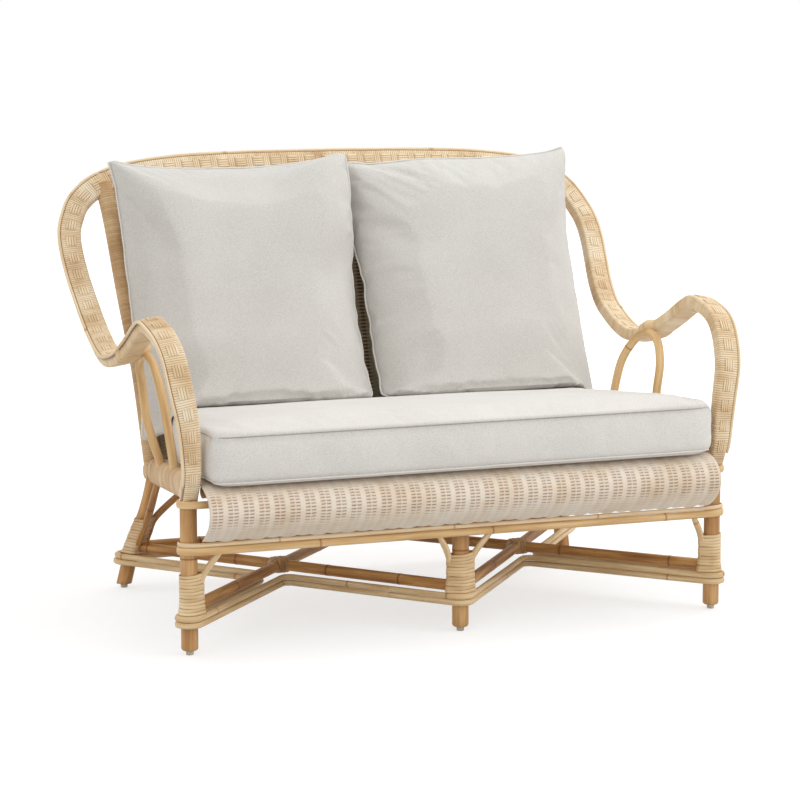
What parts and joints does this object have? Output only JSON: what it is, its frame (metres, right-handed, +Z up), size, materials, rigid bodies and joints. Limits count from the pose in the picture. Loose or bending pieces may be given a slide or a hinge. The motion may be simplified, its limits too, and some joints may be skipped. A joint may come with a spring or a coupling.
{
  "type": "rattan garden sofa",
  "caption": "Rattan garden sofa: pole frame on crossed stretchers, woven ribbon sweeping over the arms and along the back, rolled woven apron, loose seat and back cushions.",
  "frame": {"origin": "on the floor, under the middle of the sofa's outline seen from above", "axes": "+X to the sitter's left, along the seat; +Y to the back; +Z up"},
  "size_m": [1.194, 0.8096, 0.8704],
  "materials": {
    "cane": "honey-coloured peeled rattan pole, clear satin lacquer",
    "bark_cane": "brown rattan pole with its skin on, satin lacquer",
    "peel": "pale rattan peel, closely wound, satin",
    "peel_ribbon": "pale rattan peel in a basket weave on the face, wound crosswise behind",
    "edge_cane": "thin pale whole cane, satin",
    "wicker": "bleached split core cane, close plain weave, matt",
    "linen": "light warm grey linen-look cloth, piped and seamed edges",
    "glide": "off-white moulded glide"
  },
  "bodies": {
    "frame": {"front_leg_left": "cane", "front_leg_middle": "cane", "front_leg_right": "cane", "seat_front_rail": "cane", "seat_edge_cane": "cane", "apron_rail": "cane", "stretcher_front_left": "cane", "stretcher_front_right": "cane", "stretcher_loop_upper_left": "cane", "stretcher_loop_upper_right": "cane", "stretcher_loop_lower_left": "cane", "stretcher_loop_lower_right": "cane", "bracket_front_left": "cane", "bracket_middle_left": "cane", "bracket_middle_right": "cane", "bracket_front_right": "cane", "bracket_rear_side_left": "cane", "bracket_rear_side_right": "cane", "arm_loop_left": "cane", "arm_loop_right": "cane", "rear_leg_left": "bark_cane", "rear_leg_right": "bark_cane", "seat_cross_rail": "bark_cane", "stretcher_back": "bark_cane", "stretcher_cross_left": "bark_cane", "stretcher_cross_right": "bark_cane", "bracket_rear_back_left": "bark_cane", "bracket_rear_back_right": "bark_cane", "seat_back_rail": "peel", "seat_side_band_left": "peel", "seat_side_band_right": "peel", "crossing_binding_left": "peel", "crossing_binding_right": "peel", "crossing_binding_back": "peel", "leg_binding_front_left": "peel", "leg_binding_front_middle": "peel", "leg_binding_front_right": "peel", "leg_binding_rear_left": "peel", "leg_binding_rear_right": "peel", "arm_loop_binding_left": "peel", "arm_loop_binding_right": "peel", "back_post_left": "peel", "back_post_right": "peel", "arm_ribbon_left": "peel_ribbon", "arm_ribbon_right": "peel_ribbon", "back_ribbon": "peel_ribbon", "arm_edge_cane_left": "edge_cane", "arm_edge_cane_right": "edge_cane", "back_edge_cane": "edge_cane", "apron_edge_cane": "edge_cane", "seat_weave": "wicker", "back_weave": "wicker", "foot_glide_front_left": "glide", "foot_glide_front_middle": "glide", "foot_glide_front_right": "glide", "foot_glide_rear_left": "glide", "foot_glide_rear_right": "glide"},
    "seat_cushion": {"seat_cushion": "linen"},
    "back_cushion_left": {"back_cushion_left": "linen"},
    "back_cushion_right": {"back_cushion_right": "linen"}
  },
  "joints": [
    {"name": "seat_cushion_slide", "type": "slide", "parent": "frame", "child": "seat_cushion", "axis": [0, -0.9966, 0.0825], "range_m": [0, 0.62]},
    {"name": "back_cushion_left_lift", "type": "slide", "parent": "frame", "child": "back_cushion_left", "axis": [0, 0, 1], "range_m": [0, 0.55]},
    {"name": "back_cushion_right_lift", "type": "slide", "parent": "frame", "child": "back_cushion_right", "axis": [0, 0, 1], "range_m": [0, 0.55]}
  ]
}
